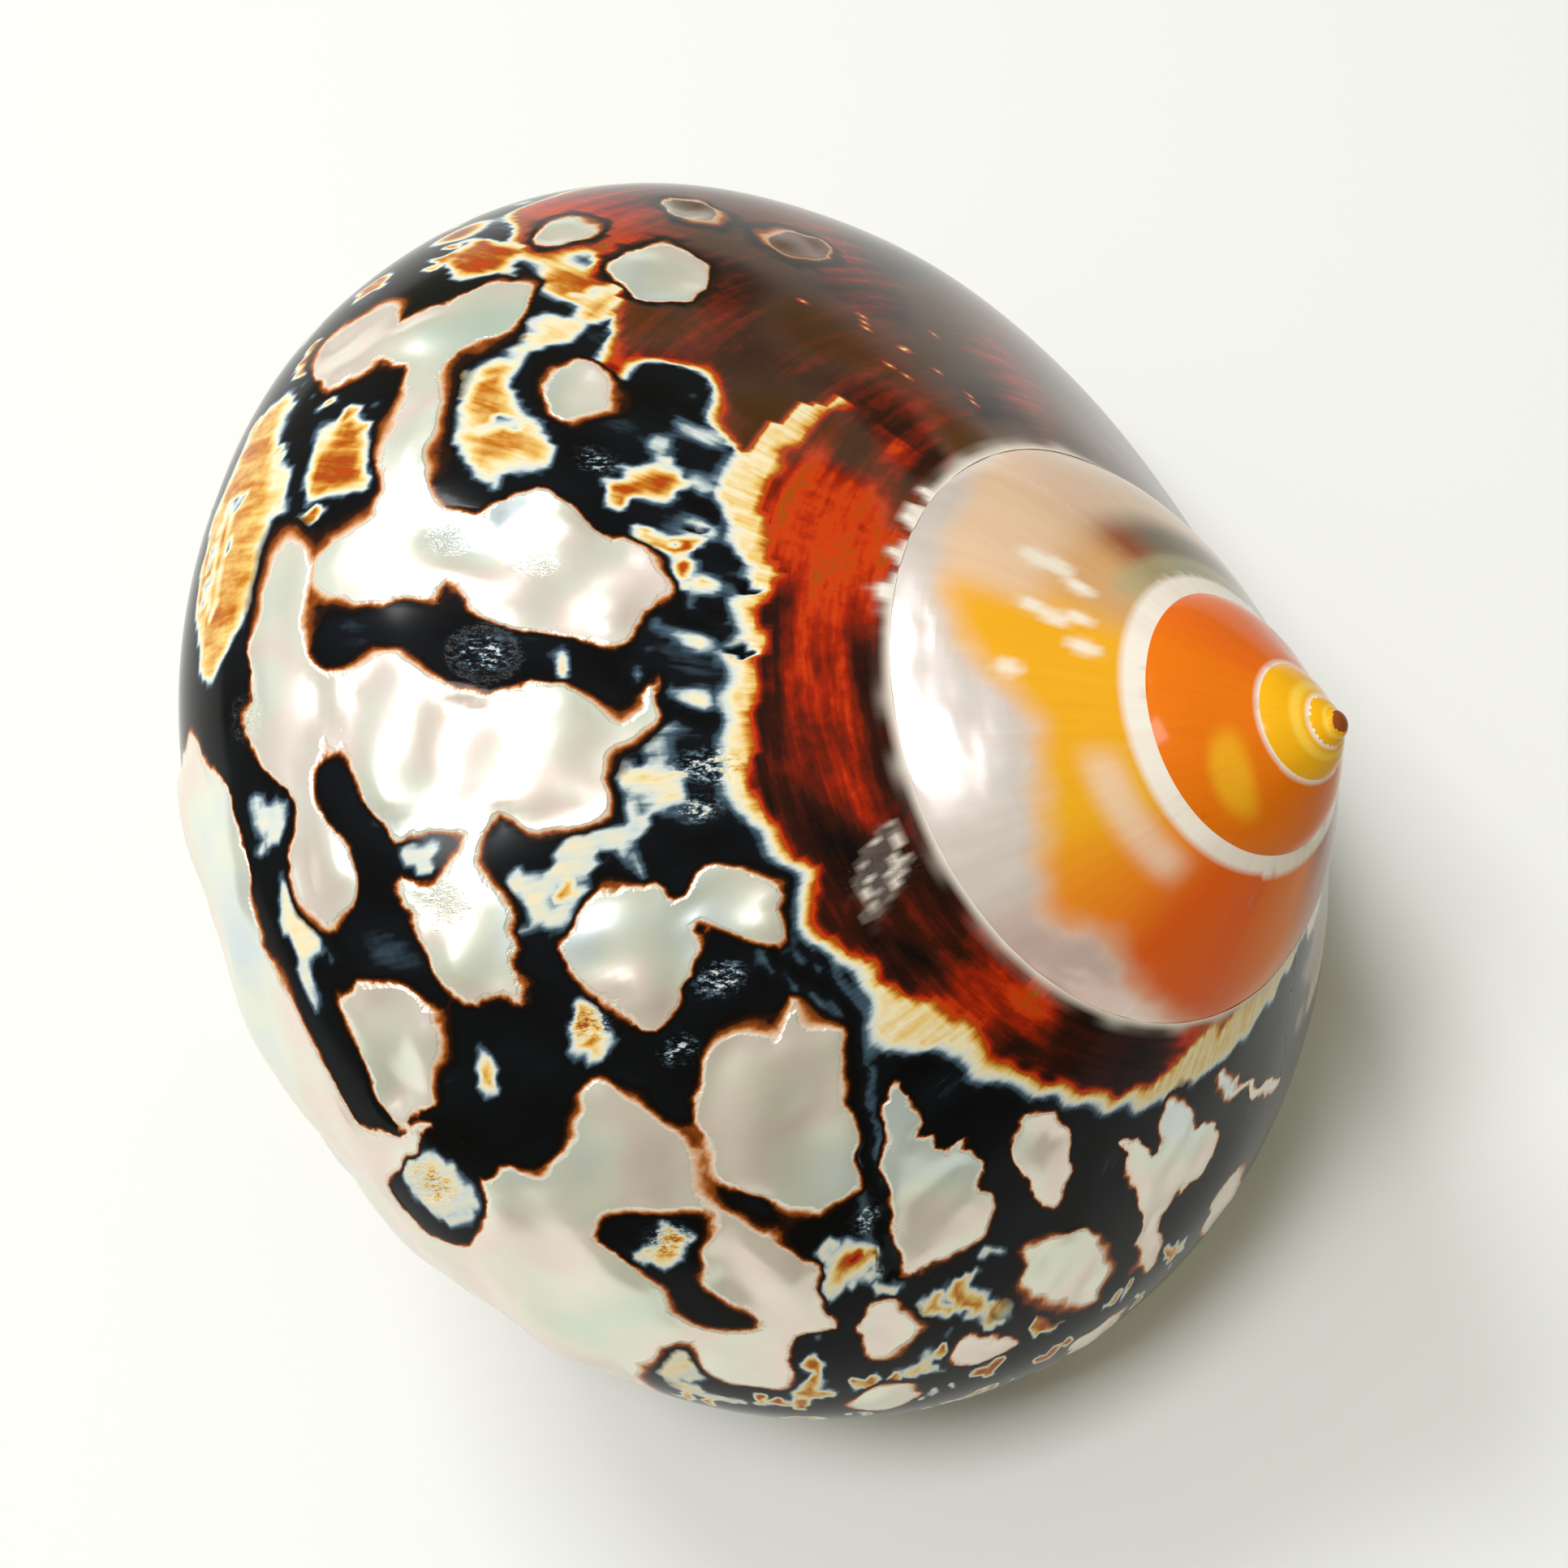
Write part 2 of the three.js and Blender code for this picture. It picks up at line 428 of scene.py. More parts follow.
def depthInside(outline, loose=1.0, reach=5.0):
    # mm to the nearest edge of the outline, plus inside and minus outside
    edge = throughPoints(outline) * (flat["along"], flat["round"])
    placeAlong = skinTurn * flat["along"] + loose * wobble["along"] / skinSize
    placeRound = skinAngle * flat["round"] + loose * wobble["round"] / skinSize
    place = np.stack([placeAlong, placeRound], axis=-1)
    near = np.all((place > edge.min(axis=0) - reach) & (place < edge.max(axis=0) + reach), axis=-1)
    spot = place[near][:, None]
    after = np.roll(edge, -1, axis=0)
    side = after - edge
    gap = spot - edge
    share = np.clip((gap * side).sum(-1) / ((side * side).sum(-1) + 1e-9), 0, 1)
    away = np.linalg.norm(gap - share[..., None] * side, axis=-1).min(axis=1)
    rises = (edge[:, 1] > spot[..., 1]) != (after[:, 1] > spot[..., 1])
    meets = edge[:, 0] + (spot[..., 1] - edge[:, 1]) * side[:, 0] / (side[:, 1] + 1e-12)
    inside = (rises & (spot[..., 0] < meets)).sum(axis=1) % 2 == 1
    depth = np.full(len(skinTurn), far)
    depth[near] = np.where(inside, away, -away) * skinSize[near]
    return depth


# where the polish has gone through to mother of pearl: growth turn and section angle of each edge point
pearlPatches = {
    "left of the seam": [
        (-318, 66), (-314, 69.5), (-304, 77), (-298.7, 78.7), (-302.5, 71.5), (-299, 71.5),
        (-292.5, 74), (-304.5, 59.5), (-306, 54), (-308, 50), (-312, 47.5), (-309, 59), (-312, 61),
        (-316, 61),
    ],
    "narrow leaf": [
        (-271.6, 74.5), (-272.5, 75.6), (-280, 75), (-286, 68.5), (-287.5, 66), (-286, 64.2),
        (-283, 65.5), (-275, 71),
    ],
    "shoulder flame": [
        (-286, 59.5), (-295, 59.5), (-299, 56), (-303, 48), (-302, 46), (-297, 48), (-289, 52),
        (-287.8, 55),
    ],
    "wedge": [
        (-252.5, 71.5), (-264, 68), (-266, 70), (-271, 68), (-272, 66.5), (-276, 64), (-278, 59),
        (-272, 52.5), (-269, 53), (-264.5, 59), (-258, 66.5),
    ],
    "shield": [
        (-258, 63), (-247, 70.8), (-243, 71), (-240, 69.3), (-236.6, 69.5), (-240, 66.5),
        (-237.5, 64), (-237, 62), (-239, 57.5), (-247, 52), (-253, 53.5), (-258, 54), (-260, 57),
    ],
    "lower slope": [
        (-270, 43), (-259, 50.5), (-255, 49), (-251, 49), (-242, 51.8), (-234.5, 49), (-235, 46.5),
        (-240.5, 41), (-238, 34), (-233, 30), (-232, 22), (-222.5, 21.5), (-218, 20.5), (-208, 22),
        (-204, 20), (-200, 12), (-203, 2), (-215, -4), (-240, -6), (-262, -2), (-268, 10),
        (-262, 22), (-262, 32),
    ],
    "mitten": [
        (-232.5, 57), (-228.5, 63), (-224.5, 66), (-229.3, 70.3), (-229, 72.3), (-223, 74.2),
        (-219, 69.5), (-222, 65), (-218.5, 62), (-221, 55.5), (-224, 52.3),
    ],
    "cape with tongue": [
        (-197, 69), (-202.5, 66.5), (-205, 64), (-212, 60), (-212, 55), (-210, 52), (-214.5, 48.5),
        (-219, 49.5), (-225, 48), (-230.5, 41.5), (-225, 44.5), (-224.5, 42), (-216.5, 40),
        (-212, 41.5), (-207, 38.8), (-197.8, 37.5), (-197, 40), (-196, 44), (-199, 50.5),
        (-199.3, 53), (-198, 59.5), (-202, 64),
    ],
    "crown and stem": [
        (-193, 63), (-191.5, 66), (-186, 69.8), (-181, 65), (-181.5, 62.5), (-178, 57),
        (-182, 50.5), (-182.3, 48), (-180.5, 46), (-169, 42.6), (-164.5, 43.3), (-160.5, 46.8),
        (-155.5, 42.5), (-163.5, 35.5), (-165, 34), (-162, 29.8), (-167, 24), (-172.3, 30),
        (-168.5, 34.5), (-169, 36), (-168, 37), (-169.5, 39.5), (-177, 39.5), (-180, 40.8),
        (-184, 40), (-188.5, 35), (-191, 36.5), (-191, 46.3), (-188.5, 48.8), (-191, 51),
        (-193, 55),
    ],
    "belt below the cape": [
        (-216.5, 31.5), (-215, 35), (-212, 36), (-208, 34.2), (-205, 34.3), (-203, 36.5),
        (-202.5, 38), (-197.5, 38), (-196.5, 36), (-193.5, 34), (-187.5, 34), (-186.3, 31.5),
        (-188, 29.5), (-197.5, 27), (-200.5, 25), (-207, 31), (-210, 29), (-215.5, 28),
    ],
    "lower leaf": [
        (-231.5, 33), (-226.5, 37.8), (-224, 38), (-220.3, 32.5), (-225, 27.8), (-231.5, 27),
    ],
    "seam streak": [(-313, 77), (-324, 70.5), (-336, 61), (-336, 63), (-324, 72.5), (-313, 79)],
    "far oval": ovalOutline(-165.6, 55.4, 4, 3.1),
    "far round": ovalOutline(-145.5, 52.5, 5.2, 4.7),
    "far bead": ovalOutline(-146.5, 40, 3.3, 2.4),
    "dim oval": ovalOutline(-126.2, 53.8, 4, 3.3),
    "dim sliver": ovalOutline(-132.8, 43.8, 2.6, 3.6),
    "rim bead": ovalOutline(-283.4, 30.2, 3.4, 3.8),
    "rim leaf": ovalOutline(-308.5, 34.5, 4.2, 4.8),
    "seam leaf": ovalOutline(-326.8, 46.5, 4.3, 6.6, -14),
    "rim patch": [
        (-272, 29), (-270, 36), (-267, 40), (-263, 37), (-261, 34), (-265, 29),
    ],
    "rim bead by the growth line": [(-279, 46), (-274, 48), (-272, 45), (-274, 42), (-278, 41)],
    "rim bead beyond": [(-294, 42), (-290, 43), (-286, 45), (-286, 41), (-290, 38)],
}

# dark layer left standing over the pearl
darkMarks = {
    "eye": [
        (-265.5, 38.5), (-262, 40.8), (-257, 41), (-252.5, 47.8), (-249.5, 47), (-246.3, 40),
        (-247.5, 37.5), (-252, 37), (-260, 35.2),
    ],
    "block": [
        (-241, 38), (-236, 46), (-234.5, 50.3), (-231, 50.5), (-230, 47), (-225.5, 45.5),
        (-225, 38.5), (-227, 37), (-233, 33),
    ],
    "notch": [
        (-221.5, 38.5), (-214, 40.2), (-202.5, 36), (-206, 34.8), (-211, 36.4), (-216, 35.5),
        (-218, 31.5), (-221, 32),
    ],
    "lower zone": [
        (-232, 22), (-231, 26), (-227, 26.4), (-222, 29.2), (-219.6, 32.5), (-217, 30.2),
        (-212, 28), (-208, 30.4), (-200, 24), (-196, 26.4), (-192, 27), (-196, 21), (-201, 17.5),
        (-205, 21.5), (-213, 22.6), (-228, 21.6),
    ],
    "ring": [
        (-235.6, 20.4), (-235, 25), (-233.6, 29.6), (-234.8, 32.4), (-238, 33), (-241.4, 30),
        (-243.4, 25), (-243.4, 20), (-241.6, 16.6), (-238, 17.2),
    ],
    "ring's neck": [
        (-231.2, 37), (-232.8, 35.6), (-235.6, 32), (-238.4, 31.4), (-238.8, 34), (-236.6, 37.2),
        (-234.5, 39),
    ],
    "glint": ovalOutline(-212.6, 44.2, 2.3, 3.6, -14),
    "wedge's hook": [
        (-251, 74), (-256.4, 71.2), (-261.4, 67.8), (-263.4, 69.4), (-265.4, 71), (-266.6, 74),
        (-262, 77), (-256, 76.4),
    ],
}

# islands of the pale and amber layers: outline, how far up the layers the heart goes,
# and the width of the edge in mm
islands = {
    "snake": (
        [
            (-180, 50), (-174, 56), (-170, 52), (-164, 50), (-156, 54), (-151, 52), (-153, 49),
            (-160, 48), (-170, 44),
        ],
        0.98, 1.3,
    ),
    "snake's streak": (ovalOutline(-167, 47, 4, 1.2, 20), 1.3, 0.5),
    "snake's brown": (ovalOutline(-173, 50, 3, 1, 50), 1.25, 0.5),
    "amber spot": (
        [
            (-178, 62), (-177, 66), (-172, 69), (-169, 67), (-171, 64), (-175, 61),
        ],
        1.15, 0.9,
    ),
    "corner spot": (
        [
            (-186, 70), (-182, 72), (-179, 73), (-178, 70), (-181, 65), (-182, 68),
        ],
        1.3, 0.5,
    ),
    "corner spot's ring": (ovalOutline(-181, 69, 1.5, 1.5), 0.62, 0.3),
    "bridge": (ovalOutline(-195.6, 59.6, 1.5, 1.3), 1.1, 0.3),
    # glint: a painted highlight, a bluish-white oval set in the dark mark of the same name
    "glint": (ovalOutline(-212.4, 44.0, 1.8, 2.8, -14), 0.5, 0.4),
    "amber leaf": (ovalOutline(-178.5, 35.2, 4.6, 4.0, -20), 1.05, 0.8),
    "yellow fan": (
        [
            (-196.5, 20), (-192, 26), (-186, 28.6), (-180, 28), (-174, 25), (-172, 20), (-176, 15),
            (-184, 13), (-192, 14.5),
        ],
        0.92, 0.9,
    ),
    "yellow fan's heart": (ovalOutline(-186, 18.5, 5.5, 3), 1.5, 2.0),
    "brown spur": (ovalOutline(-154, 36.2, 3.6, 4.8, 10), 1.15, 0.8),
    "blue streak": (
        [
            (-221, 51), (-220, 57), (-216, 62), (-210, 67), (-208, 65), (-212, 61), (-214, 54),
            (-217, 50),
        ],
        0.6, 1.6,
    ),
    "blue streak's yolk": (ovalOutline(-217.6, 54.4, 1.5, 2.2, 10), 0.95, 0.5),
    "olive tail": (ovalOutline(-208.6, 66.4, 3.2, 2.6, -35), 1.0, 2.4),
    "bubble": (ovalOutline(-230.6, 51.8, 3.0, 2.7), 0.95, 0.7),
    "bubble's heart": (ovalOutline(-230.8, 51.6, 1.2, 1.2), 2.0, 0.4),
    "bubble below": (ovalOutline(-231.9, 40.5, 2.2, 2.6), 0.95, 0.6),
    "eye's heart": (ovalOutline(-251.7, 42.4, 1.9, 2.8), 0.85, 0.7),
    "seam fleck": (ovalOutline(-257.6, 63.2, 1.6, 1.3), 0.5, 0.5),
    "brown block": (ovalOutline(-266.4, 51.5, 3.6, 5.0, 20), 0.62, 0.9),
    "brown block's heart": (ovalOutline(-266.4, 51.5, 2.6, 4.0, 20), 2.1, 1.2),
    "amber saddle": (ovalOutline(-283, 50, 6.4, 3.4, 8), 1.1, 0.7),
    "pale fleck": (ovalOutline(-281.7, 57.2, 2.0, 1.9), 0.45, 0.4),
    "small fleck": (ovalOutline(-283, 38.6, 2.6, 2.2), 0.7, 0.5),
    "rim amber": (ovalOutline(-274.7, 31, 2.5, 3.6), 1.05, 0.6),
    "rim white": (
        [
            (-266, 27), (-262, 32), (-258, 32), (-255, 29), (-256, 24), (-261, 22),
        ],
        0.6, 0.5,
    ),
    "rim white's heart": (ovalOutline(-259.4, 27.4, 2.6, 2.2), 1.05, 0.9),
    "rim grey": (ovalOutline(-267, 22.5, 5.4, 3.0), 0.6, 0.6),
    "ring heart": (ovalOutline(-238.6, 25.2, 3.3, 5.6, 16), 0.52, 0.5),
    "zone fleck": (ovalOutline(-217.8, 26.4, 4.6, 2.6, 10), 0.6, 0.7),
    "zone bead": (ovalOutline(-207.7, 26.2, 2.3, 2.3), 0.55, 0.6),
    "wedge's brown": (ovalOutline(-267.4, 66.0, 3.4, 0.9, -8), 1.25, 0.3),
    "rim brown": ([(-290, 47), (-285, 52), (-279, 54), (-277, 51), (-285, 47)], 1.1, 0.7),
}

# pale flecks high on the far shoulder: turn, section angle, half length, half width, lean
shoulderFlecks = [
    (-134, 62, 2.8, 0.6, -55), (-130, 68, 3.4, 0.7, -50), (-127, 73, 1.5, 0.8, -35),
    (-119, 70, 2.2, 0.8, -50), (-126, 78, 1.8, 0.8, -30), (-126, 84, 2.2, 0.8, -25),
    (-133, 78, 2.6, 0.9, 80),
]
for number, fleck in enumerate(shoulderFlecks):
    islands["shoulder fleck " + str(number + 1)] = (ovalOutline(*fleck), 0.7, 0.3)


def strongest(outlines):
    # the deepest of all the outlines at each place
    best = np.full(len(skinTurn), far)
    for outline in outlines:
        best = np.maximum(best, depthInside(outline))
    return best


print("laying out the pearl patches")
pearl = strongest(pearlPatches.values())
dark = strongest(darkMarks.values())
pearl = np.minimum(pearl, -dark)

scatter = {
    "seed": 61,
    "along": 12.0,  # mm between beads at size 1
    "round": 10.5,
    "pearlShare": 0.66,
    "paleShare": 0.24,
    "turns": [-450, -362, -345, -318, -290, -262, -200, -170, -140, -100, -80, -60],
    # no bead stands higher than this section angle
    "highest": [60, 56, 44, 24, 16, -8, -8, 6, 16, 28, 44, 66],
}


def scatterBeads():
    # jittered grid of leaning ovals over the parts of the last whorl that carry no mapped patch:
    # depth = (1 - |place - middle| / half) * half, the middle moved by up to a third of a cell
    chance = np.random.default_rng(scatter["seed"])
    beads = np.full(len(skinTurn), far)
    pale = np.full(len(skinTurn), far)
    x = skinTurn * flat["along"] + 1.6 * ripple(skinTurn, skinAngle, 17, 5)
    y = skinAngle * flat["round"] + 1.6 * ripple(skinTurn, skinAngle, 15, 6)
    for column in np.arange(-450 * flat["along"], 12 * flat["along"], scatter["along"]):
        for row in np.arange(-82 * flat["round"], 62 * flat["round"], scatter["round"]):
            move = chance.uniform(-0.33, 0.33, 2)
            half = chance.uniform(0.3, 0.62, 2) * (scatter["along"], scatter["round"])
            lean = chance.uniform(-0.9, 0.9)
            draw = chance.uniform()
            middleX = column + move[0] * scatter["along"]
            middleY = row + move[1] * scatter["round"]
            middleTurn = middleX / flat["along"]
            middleAngle = middleY / flat["round"]
            highest = np.interp(middleTurn, scatter["turns"], scatter["highest"])
            if middleAngle > highest or draw > scatter["pearlShare"] + scatter["paleShare"]:
                continue
            dx = x - middleX
            dy = y - middleY
            ahead = (dx * math.cos(lean) + dy * math.sin(lean)) / half[0]
            beside = (dy * math.cos(lean) - dx * math.sin(lean)) / half[1]
            depth = (1 - np.hypot(ahead, beside)) * half.min() * skinSize
            if draw < scatter["pearlShare"]:
                beads = np.maximum(beads, depth)
            else:
                pale = np.maximum(pale, depth)
    return beads, pale


beads, paleBeads = scatterBeads()
pearl = np.maximum(pearl, beads)
print("pearl laid out")

# layer: 0 black, 0.3 blue grey, 0.5 bluish white, 0.62 cream, 0.8 yellow, 1 amber, 1.2 orange,
# 1.45 red, 2 dark brown
layer = 0.07 + 0.08 * ripple(skinTurn, skinAngle, 9, 11)
for outline, heart, edge in islands.values():
    depth = depthInside(outline, 1.8)
    rise = 0.55 * smooth((depth + 0.12) / 0.45) + (heart - 0.55) * smooth((depth - 0.2) / edge)
    blended = np.where(depth > 0.1, rise, np.maximum(layer, rise))
    layer = np.where(depth > -0.12, blended, layer)
paleRise = 0.55 * smooth((paleBeads + 0.12) / 0.45) + 0.5 * smooth((paleBeads - 0.3) / 1.2)
layer = np.maximum(layer, np.where(paleBeads > -0.12, paleRise, 0.0))

def bump(x, low, high, soft):
    # 1 between low and high, falling to 0 over the soft width
    return smooth((x - low) / soft + 0.5) * smooth((high - x) / soft + 0.5)


# the band below the seam, along the turn: it wanders down and back up in bays
seamBand = {
    "edge": [  # section angle where the margin meets the black
        (-345, 90), (-310, 82), (-300, 80), (-290, 79), (-270, 79), (-260, 78), (-253, 78),
        (-248, 73), (-242, 76), (-237, 77), (-231, 75), (-222, 77), (-210, 73), (-200, 75), (-190, 76),
        (-180, 77), (-171, 72), (-160, 73), (-150, 75), (-146, 77), (15, 77),
    ],
    "pale": [  # width of the pale margin, mm
        (-345, 3), (-305, 2.6), (-290, 0.5), (-270, 0.4), (-260, 0.6), (-253, 1.4), (-248, 2.8),
        (-240, 0.5), (-230, 0.2), (-220, 0.3), (-210, 0.9), (-198, 1), (-184, 0.8), (-171, 2),
        (-160, 1.8), (-150, 0.9), (-144, 0.2), (15, 0.2),
    ],
    "rind": [  # layer just inside the margin
        (-345, 0.9), (-300, 1.3), (-292, 2.2), (-262, 2.2), (-255, 1.35), (-248, 1.35),
        (-243, 2.1), (-186, 2.15), (-170, 1.5), (-158, 1.6), (-150, 1.9), (15, 2),
    ],
    "heart": [
        (-345, 0.8), (-305, 0.9), (-293, 1.8), (-284, 2.3), (-268, 2.2), (-257, 1.3), (-250, 1.4),
        (-240, 2.1), (-215, 2.1), (-196, 2), (-184, 1.85), (-170, 1.6), (-155, 1.8), (-143, 2),
        (15, 1.9),
    ],
}


def alongSeam(name):
    # straight lines between the table's turns
    table = np.array(seamBand[name], float)
    return np.interp(skinTurn, table[:, 0], table[:, 1])


lastWhorl = skinTurn > -348.0
# behind the band's end the whole shoulder is a dusky brown
ragged = 5.0 * ripple(skinTurn * 0.8, skinAngle * 0.66, 7, 27)
shoulder = smooth((skinTurn + 158 + ragged - 0.3 * (55 - skinAngle)) / 4)
shoulder = shoulder * smooth((skinAngle - 27 + 1.2 * ragged) / 4)
shoulder = shoulder * smooth((20 - skinTurn) / 40)
brown = 1.95 + 0.4 * ripple(skinTurn * 0.8, skinAngle * 0.4, 16, 23)
brown = brown - 0.75 * bump(skinTurn, -160, -140, 14) * smooth((54 - skinAngle) / 8)
brown = brown + (2.5 - brown) * smooth((pearl + 0.75) / 0.35)  # a dark ring round each bead
brown = np.where(layer > 0.45, layer, brown)
layer = layer + (brown - layer) * shoulder
# blue and cream haze in the black below the margin
above = (skinAngle - alongSeam("edge")) * flat["round"] * skinSize  # mm above the lower edge of the band
above = above + 0.22 * ripple(skinTurn, skinAngle * 0.5, 6, 21)
hazy = bump(above, -3.6, -0.5, 1.4) * bump(skinTurn, -214, -150, 10) * (pearl < -0.5)
patchy = ripple(skinTurn * 0.9, skinAngle * 0.7, 4.2, 24)
layer = np.maximum(layer, np.where(layer < 0.4, hazy * (0.16 + 0.34 * patchy), 0.0))
# amber and cream mottling in the black near the far shoulder and low at the front
mottled = bump(skinTurn, -190, -142, 10) * bump(skinAngle, 16, 50, 6)
mottled = np.maximum(mottled, bump(skinTurn, -318, -266, 10) * bump(skinAngle, 14, 50, 6))
spots = ripple(skinTurn * 0.9, skinAngle * 0.8, 6, 30) + 0.5 * ripple(skinTurn, skinAngle, 2.6, 35)
spots = mottled * smooth((spots - 0.35) / 0.7) * smooth((-0.35 - pearl) / 0.3) * 1.15
layer = np.where(layer < 0.45, np.maximum(layer, spots), layer)
pale = alongSeam("pale") * (0.85 + 0.2 * ripple(skinTurn, skinAngle * 0.5, 7, 25))
rind = alongSeam("rind")
heart = alongSeam("heart") + 0.22 * ripple(skinTurn * 0.35, skinAngle * 0.8, 7, 22)
heart = heart - 0.22 * ripple(skinTurn * 0.2, skinAngle * 0.9, 4, 26) * (heart > 1.3)
inner = above - pale
band = np.interp(above, [-0.6, -0.3, -0.05, 0.12, 0.3], [0.05, 0.28, 0.5, 0.63, 0.70])
band = np.where(inner > -0.15, 0.70 + (1.15 - 0.70) * smooth((inner + 0.15) / 0.3), band)
band = np.where(inner > 0.15, 1.15 + (rind - 1.15) * smooth((inner - 0.15) / 0.3), band)
band = np.where(inner > 0.6, rind + (heart - rind) * smooth((inner - 0.6) / 1.0), band)
# bright red along the middle of the band
glow = bump(skinTurn, -214, -176, 14) * bump(skinAngle, 81, 86.5, 3) * 0.65
glow = np.maximum(glow, bump(skinTurn, -180, -158, 10) * bump(skinAngle, 78, 88, 4) * 0.95)
band = np.where(inner > 0.4, band + (1.32 - band) * glow, band)
# rough silvery chip, leaning up along the band
chipSide = skinAngle - 84 - 0.35 * (skinTurn + 225)
chip = np.hypot((skinTurn + 225) / 6.5, chipSide / 2.2)
chip = smooth((1.1 + 0.3 * ripple(skinTurn, skinAngle, 3, 29) - chip) / 0.25)
onBand = lastWhorl & (above > -0.6) & (skinTurn < -146)
layer = np.where(onBand, np.where(above > 0, band, np.maximum(layer, band)), layer)
pearl = np.where(onBand & (above > 0.2) & (skinTurn > bandStart), np.minimum(pearl, -0.7), pearl)
# pale thread where the band meets the whorl before, thicker and broken past the crown
broken = 0.9 * bump(skinTurn, -184, -152, 6) * ripple(skinTurn, skinAngle * 0.2, 5, 46)
thread = smooth((skinAngle - 88.3 + broken - 0.2 * ripple(skinTurn, skinAngle * 0.1, 12, 28)) / 1.1)
thread = thread * lastWhorl * smooth((-95 - skinTurn) / 20)

# the old growth line: a fine dark crack with pale lips
growthLine = [
    (-231, 71), (-237, 73), (-243, 73), (-248, 70), (-256, 65), (-262, 60), (-267, 56), (-271, 52),
]
crack = depthInside(growthLine + growthLine[::-1], 0.6)
crackMask = smooth((0.44 + crack) / 0.34)
lips = smooth((0.95 + crack) / 0.4) * (1 - crackMask)
pearl = np.minimum(pearl, -crack - 0.5)
layer = layer + (0.02 - layer) * crackMask
layer = layer + (0.42 - layer) * 0.5 * lips * (layer < 0.42)

colours = {
    "rose": (226, 196, 188),
    "milk": (236, 230, 214),
    "gold": (230, 166, 34),
    "tea": (206, 160, 110),
    "blush": (230, 200, 172),
    "shell": (232, 222, 217),
    "collar": (236, 228, 216),
    "sage": (168, 166, 128),
    "slate": (88, 76, 72),
    "orange": (230, 130, 34),
    "flame": (222, 96, 28),
    "umber": (140, 72, 34),
    "olive": (104, 88, 62),
    "deepOrange": (220, 112, 16),
    "yellow": (232, 170, 24),
    "lemon": (238, 196, 70),
    "ash": (120, 98, 84),
    "smoke": (150, 140, 128),
    "bark": (84, 54, 24),
}


def linear(name):
    # screen value to light: ((c + 0.055) / 1.055) ^ 2.4
    c = np.array(colours[name], float) / 255
    return ((c + 0.055) / 1.055) ** 2.4


def blend(base, name, weight):
    # base + (colour - base) * weight
    return base + (linear(name) - base) * np.clip(weight, 0, 1)[:, None]


print("colouring the spire")
wander = 4.0 * ripple(skinTurn * 0.8, skinAngle * 0.5, 30, 31)
streakTurn = skinTurn + wander
stops = [
    (-760, "umber"), (-705, "umber"), (-680, "orange"), (-655, "flame"), (-630, "flame"),
    (-608, "orange"), (-588, "gold"), (-535, "gold"), (-518, "tea"), (-502, "tea"), (-492, "umber"),
    (-480, "olive"), (-455, "olive"), (-425, "ash"), (-380, "smoke"), (-345, "smoke"),
]
spire = np.stack(
    [
        np.interp(streakTurn, [s[0] for s in stops], [linear(s[1])[c] for s in stops])
        for c in range(3)
    ],
    axis=-1,
)
second = bump(skinTurn, -742, -345, 8)
third = smooth((-738 - skinTurn) / 6)
spire = blend(spire, "deepOrange", third)
spire = blend(spire, "flame", third * 0.6 * bump(streakTurn, -880, -800, 30))
swirl = np.hypot((skinTurn + 955) / 22, (skinAngle - 64 - 0.25 * (skinTurn + 955)) / 9)
spire = blend(spire, "gold", third * 0.9 * smooth(1.7 - swirl))
spire = blend(spire, "yellow", smooth((-1066 - skinTurn) / 14))
spire = blend(spire, "lemon", smooth((-1080 - skinTurn) / 14) * bump(skinAngle, 68, 80, 6) * 0.9)
# pearl showing through the second whorl, with rosy edges
showOutline = [
    (-655, 28), (-648, 38), (-632, 46), (-618, 53), (-606, 48), (-596, 53), (-585, 59), (-573, 63),
    (-561, 65), (-554, 60), (-544, 51), (-530, 45), (-505, 42), (-480, 28), (-570, 24),
]
showDepth = depthInside(showOutline, 0.3) + 0.12 * ripple(skinTurn, skinAngle, 14, 33)
show = second * smooth((showDepth + 0.2) / 1.1)
fringe = second * smooth((showDepth + 1.1) / 1.5)
milky = second * smooth((skinTurn + 536) / 10) * smooth((72 - skinAngle) / 12)
spire = blend(spire, "blush", milky * 0.75)
spire = blend(spire, "blush", fringe * 0.6)
spire = blend(spire, "shell", show)
spire = blend(spire, "rose", show * bump(skinTurn, -636, -600, 12) * 0.8)
spire = blend(spire, "blush", second * bump(skinTurn, -618, -572, 14) * bump(skinAngle, 73, 81, 6) * 0.8)
specks = [
    (-517, 62, 2.2), (-516, 67, 2.2), (-519, 73, 2), (-531, 65, 1.8), (-532, 70, 2), (-529, 75, 1.8),
    (-538, 77, 2.2), (-549, 61, 1.8),
]
for atTurn, atAngle, half in specks:
    off = np.hypot((skinTurn - atTurn) / half, (skinAngle - atAngle) / (half * 1.5))
    spire = blend(spire, "milk", second * 0.85 * smooth(1.6 - off))
green = second * bump(skinTurn, -512, -440, 12) * smooth((skinAngle - 76) / 4)
spire = blend(spire, "sage", green * 0.7)
topEdge = np.where(skinTurn < -735, 86.6, 83.8) + 0.25 * ripple(skinTurn, skinAngle, 5, 37)
collar = smooth((skinAngle - topEdge) / 0.9) * (skinTurn < -345) * smooth((skinTurn + 1400) / 20)
spire = blend(spire, "collar", collar)
spireStart = -344 - 80 * smooth((64 - skinAngle) / 12) + ragged
onSpire = smooth((spireStart - skinTurn) / 5)
